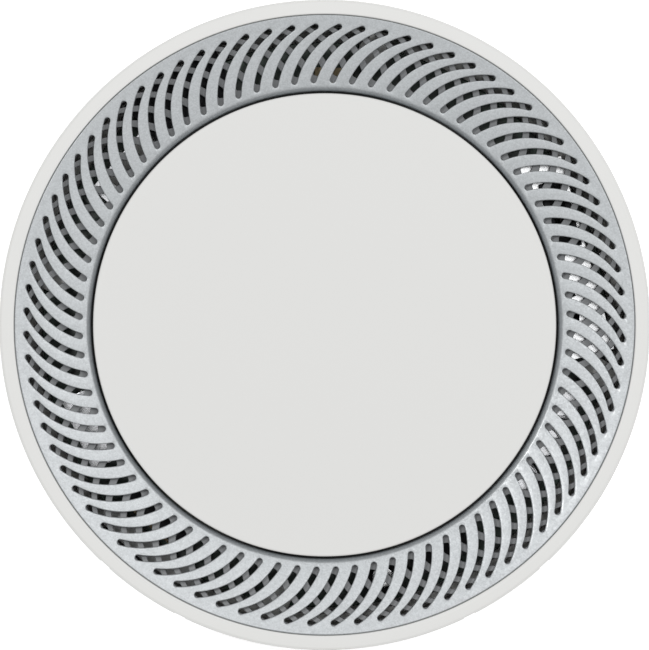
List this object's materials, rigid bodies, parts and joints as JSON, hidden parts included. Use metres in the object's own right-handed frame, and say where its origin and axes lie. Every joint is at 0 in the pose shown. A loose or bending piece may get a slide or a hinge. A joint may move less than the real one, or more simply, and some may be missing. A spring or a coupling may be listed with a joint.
{
  "type": "air quality monitor",
  "caption": "Round ceiling or wall air quality monitor: shallow white drum, silver slotted air grille round a blank raised disc, twist-lock mount plate.",
  "frame": {"origin": "centre of the mount plate's back face, on the wall", "axes": "+Z out of the wall towards the room, the front disc's axis; +Y up as the picture shows the face; +X to its right"},
  "size_m": [0.1346, 0.1352, 0.04],
  "materials": {
    "shell_white": "fine satin moulded plastic",
    "disc_white": "matte moulded plastic",
    "silver_paint": "bluish silver satin paint",
    "dark_grey": "matte",
    "black_plastic": "matte",
    "clear_guide": "milky clear plastic",
    "circuit_board": "green solder mask",
    "ribbon": "flexible insulated strip",
    "white_plastic": "satin",
    "steel": "plain",
    "zinc_steel": "zinc plated",
    "brass": "turned",
    "gold": "gold plated",
    "aluminium": "plain",
    "ferrite": "dull, sintered",
    "copper_tape": "insulating tape over copper wire",
    "foam": "closed-cell foam",
    "rubber": "matte",
    "label": "blank satin sticker"
  },
  "bodies": {
    "wall_plate": {"mount_plate": "zinc_steel"},
    "drum": {"cover_screw_1": "zinc_steel", "cover_screw_2": "zinc_steel", "cover_screw_3": "zinc_steel", "cover_screw_4": "zinc_steel", "board_screw_1": "zinc_steel", "board_screw_2": "zinc_steel", "board_screw_3": "zinc_steel", "board_screw_4": "zinc_steel", "cable_seal": "foam", "inlet_gasket": "foam", "air_divider": "foam", "rear_cover": "shell_white", "housing_shell": "shell_white", "grille_ring": "silver_paint", "baffle_ring": "dark_grey", "front_disc": "disc_white", "disc_carrier": "black_plastic", "particle_sensor_body": "black_plastic", "reset_switch": "black_plastic", "humidity_sensor": "black_plastic", "light_guide_ring": "clear_guide", "light_board": "circuit_board", "main_board": "circuit_board", "co2_board": "circuit_board", "climate_board": "circuit_board", "light_ribbon": "ribbon", "sensor_lead": "ribbon", "ribbon_socket": "white_plastic", "lead_socket": "white_plastic", "climate_stand": "white_plastic", "antenna_stand": "white_plastic", "co2_filter": "white_plastic", "ethernet_jack": "steel", "processor_can": "steel", "particle_sensor_lid": "steel", "microphone": "steel", "lock_screw_insert": "brass", "laser_module": "brass", "jack_contacts": "gold", "gas_sensor": "gold", "co2_chamber": "aluminium", "radio_module": "aluminium", "capacitor_1": "aluminium", "capacitor_2": "aluminium", "capacitor_3": "aluminium", "power_inductor": "ferrite", "transformer_core": "ferrite", "transformer_winding": "copper_tape", "fan_motor": "copper_tape", "microphone_boot": "rubber", "rating_label": "label", "antenna_board": "label"},
    "fan": {"fan_rotor": "black_plastic"},
    "lock": {"lock_screw": "steel"},
    "reset": {"reset_button": "dark_grey"},
    "switch_stem": {"reset_switch_stem": "white_plastic"}
  },
  "joints": [
    {"name": "twist_lock", "type": "hinge", "parent": "wall_plate", "child": "drum", "pos_m": [0, 0, 0], "axis": [0, 0, 1], "range_deg": [0, 30]},
    {"name": "fan_spin", "type": "hinge", "parent": "drum", "child": "fan", "pos_m": [0.04516, 0.00254, 0.0234], "axis": [0, 0, 1], "continuous": true},
    {"name": "lock_advance", "type": "slide", "parent": "drum", "child": "lock", "axis": [0, 1, 0], "range_m": [0, 0.0015]},
    {"name": "reset_press", "type": "slide", "parent": "drum", "child": "reset", "axis": [0, 0, 1], "range_m": [0, 0.0005], "stiffness_N_per_m": 400, "springref_m": -0.0005},
    {"name": "stem_press", "type": "slide", "parent": "drum", "child": "switch_stem", "axis": [0, 0, 1], "range_m": [0, 0.0005], "stiffness_N_per_m": 200, "springref_m": -0.0005}
  ],
  "couplings": [
    {"joint": "stem_press", "follows": "reset_press", "ratio": 1}
  ]
}
